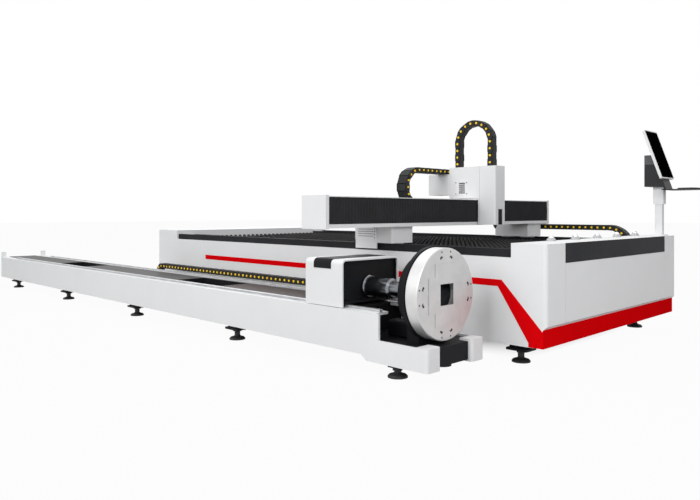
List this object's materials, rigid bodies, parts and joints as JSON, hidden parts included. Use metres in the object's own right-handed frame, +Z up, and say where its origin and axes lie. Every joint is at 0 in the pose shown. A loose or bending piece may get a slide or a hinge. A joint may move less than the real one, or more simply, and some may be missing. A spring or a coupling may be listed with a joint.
{
  "type": "laser cutting machine",
  "caption": "Flat slatted cutting bed with a travelling gantry and lift head, beside a long tube bed with a jaw chuck and a travelling spindle.",
  "frame": {"origin": "on the floor, under the middle of the whole machine", "axes": "+Z up, +X along the machine towards the operator's end, -Y towards the tube bed"},
  "size_m": [8.02, 3.265, 1.8086],
  "materials": {
    "white_paint": "satin",
    "dark_paint": "satin",
    "grey_paint": "satin",
    "red_paint": "satin",
    "machined_steel": "satin",
    "slat_steel": "matte",
    "foot_iron": "matte",
    "ball_chrome": "gloss",
    "chain_plastic": "matte",
    "bellows_cloth": "matte",
    "screen_glass": "gloss",
    "key_plastic": "matte",
    "cast_aluminium": "satin",
    "black_oxide": "satin",
    "deck_paint": "satin",
    "polished_steel": "gloss"
  },
  "bodies": {
    "bed": {"side_panels": "white_paint", "rear_cover": "white_paint", "front_cover": "white_paint", "front_panel": "white_paint", "front_band": "dark_paint", "plinth": "red_paint", "side_stripes": "red_paint", "rail_guards": "dark_paint", "rail_beams": "grey_paint", "cross_members": "grey_paint", "slat_carriers": "dark_paint", "slats": "slat_steel", "guide_rails": "machined_steel", "drive_racks": "machined_steel", "foot_plates": "dark_paint", "feet": "foot_iron", "ball_cups": "white_paint", "balls": "ball_chrome", "console_post": "white_paint", "chain_trays": "white_paint", "gantry_chain": "chain_plastic", "tube_walls": "white_paint", "tube_spine": "dark_paint", "tube_deck": "deck_paint", "tube_chain": "chain_plastic", "chuck_housing": "dark_paint", "chuck_bearing": "machined_steel", "chuck_motor": "dark_paint"},
    "console": {"console_box": "dark_paint", "screen_shell": "white_paint", "screen_glass": "screen_glass", "keyboard_tray": "dark_paint", "keyboard": "key_plastic"},
    "gantry": {"saddles": "white_paint", "saddle_covers": "white_paint", "bearing_blocks": "machined_steel", "beam": "white_paint", "beam_end_caps": "white_paint", "beam_rails": "machined_steel", "bellows": "bellows_cloth", "head_chain": "chain_plastic"},
    "head": {"head_slide": "cast_aluminium", "head_cover": "white_paint", "head_front_cover": "white_paint", "head_drive_box": "white_paint", "fan_grille": "white_paint", "lift_chain": "chain_plastic"},
    "lift": {"lift_plate": "cast_aluminium", "cutting_head": "cast_aluminium", "nozzle": "black_oxide"},
    "chuck": {"chuck_body": "machined_steel"},
    "top_jaw": {"jaw_top": "machined_steel"},
    "bottom_jaw": {"jaw_bottom": "machined_steel"},
    "near_jaw": {"jaw_near": "machined_steel"},
    "far_jaw": {"jaw_far": "machined_steel"},
    "carriage": {"carriage_base": "dark_paint", "headstock": "dark_paint", "carriage_shell": "white_paint", "shell_cap": "dark_paint"},
    "tube_spindle": {"spindle": "polished_steel"}
  },
  "joints": [
    {"name": "gantry_x", "type": "slide", "parent": "bed", "child": "gantry", "axis": [1, 0, 0], "range_m": [-2.76, 0.77], "deforming": ["gantry_chain"]},
    {"name": "head_y", "type": "slide", "parent": "gantry", "child": "head", "axis": [0, 1, 0], "range_m": [-1.65, 0.725], "deforming": ["bellows", "head_chain"]},
    {"name": "head_z", "type": "slide", "parent": "head", "child": "lift", "axis": [0, 0, 1], "range_m": [-0.11, 0.06], "deforming": ["lift_chain"]},
    {"name": "console_swivel", "type": "hinge", "parent": "bed", "child": "console", "pos_m": [3.676, 1.33, 1.205], "axis": [0, 0, 1], "range_deg": [-60, 60]},
    {"name": "chuck_turn", "type": "hinge", "parent": "bed", "child": "chuck", "pos_m": [3.39, -1.34, 0.5], "axis": [1, 0, 0], "continuous": true},
    {"name": "top_jaw_slide", "type": "slide", "parent": "chuck", "child": "top_jaw", "axis": [0, 0, 1], "range_m": [0, 0.045]},
    {"name": "bottom_jaw_slide", "type": "slide", "parent": "chuck", "child": "bottom_jaw", "axis": [0, 0, -1], "range_m": [0, 0.045]},
    {"name": "near_jaw_slide", "type": "slide", "parent": "chuck", "child": "near_jaw", "axis": [0, -1, 0], "range_m": [0, 0.045]},
    {"name": "far_jaw_slide", "type": "slide", "parent": "chuck", "child": "far_jaw", "axis": [0, 1, 0], "range_m": [0, 0.045]},
    {"name": "tube_x", "type": "slide", "parent": "bed", "child": "carriage", "axis": [1, 0, 0], "range_m": [-5.94, 0.2], "deforming": ["tube_chain"]},
    {"name": "spindle_turn", "type": "hinge", "parent": "carriage", "child": "tube_spindle", "pos_m": [3, -1.34, 0.5], "axis": [1, 0, 0], "continuous": true}
  ],
  "couplings": [
    {"joint": "spindle_turn", "follows": "chuck_turn", "ratio": 1},
    {"joint": "bottom_jaw_slide", "follows": "top_jaw_slide", "ratio": 1},
    {"joint": "far_jaw_slide", "follows": "near_jaw_slide", "ratio": 1}
  ]
}
